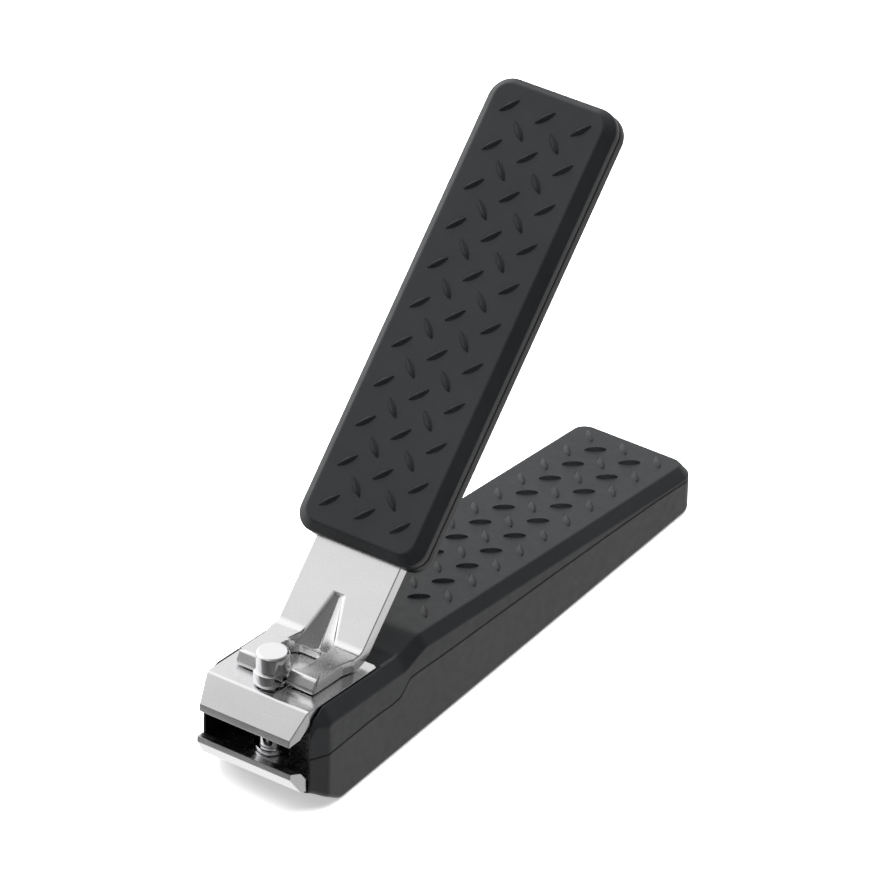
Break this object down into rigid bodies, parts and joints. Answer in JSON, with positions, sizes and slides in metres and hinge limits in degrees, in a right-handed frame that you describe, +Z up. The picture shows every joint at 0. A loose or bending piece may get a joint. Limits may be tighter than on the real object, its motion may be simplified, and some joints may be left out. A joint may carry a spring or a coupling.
{
  "type": "nail clipper",
  "caption": "Nail clipper with enclosed spring steel jaws, a forked swing-up lever on a headed pin, and studded soft grips on the lever and the body.",
  "frame": {"origin": "centre of the flat underside that the clipper lies on", "axes": "+Z up, +Y along the body towards the tail, cutting edges towards -Y, X across the cutting edges"},
  "size_m": [0.0178, 0.0833, 0.0656],
  "materials": {
    "soft_grip": "soft matt",
    "hard_shell": "satin",
    "inner_plastic": "matt",
    "jaw_steel": "fine ground",
    "lever_steel": "tumbled satin",
    "pin_steel": "turned and polished",
    "fastener_steel": "plated"
  },
  "bodies": {
    "body": {"body_lower_casing": "hard_shell", "body_upper_shell": "soft_grip", "jaw_cradle": "inner_plastic", "lower_jaw": "jaw_steel", "tail_rivets": "fastener_steel", "casing_screws": "fastener_steel", "pin_collar": "pin_steel"},
    "jaw": {"upper_jaw": "jaw_steel"},
    "pin": {"pivot_pin": "pin_steel"},
    "lever": {"lever_plate": "lever_steel", "lever_grip_base": "hard_shell", "lever_grip_pad": "soft_grip", "lever_rivets": "fastener_steel"}
  },
  "joints": [
    {"name": "pin_swivel", "type": "hinge", "parent": "body", "child": "pin", "pos_m": [0, -0.03856, 0], "axis": [0, 0, 1], "range_deg": [-4, 4]},
    {"name": "lever_press", "type": "hinge", "parent": "pin", "child": "lever", "pos_m": [0, -0.03856, 0.01513], "axis": [1, 0, 0], "range_deg": [-19.2, 0]},
    {"name": "upper_jaw_flex", "type": "hinge", "parent": "body", "child": "jaw", "pos_m": [0, 0.03109, 0.00353], "axis": [1, 0, 0], "range_deg": [0, 2.65], "stiffness_Nm_per_rad": 8, "springref_deg": -1.15}
  ],
  "couplings": [
    {"joint": "upper_jaw_flex", "follows": "lever_press", "ratio": -0.13802}
  ]
}
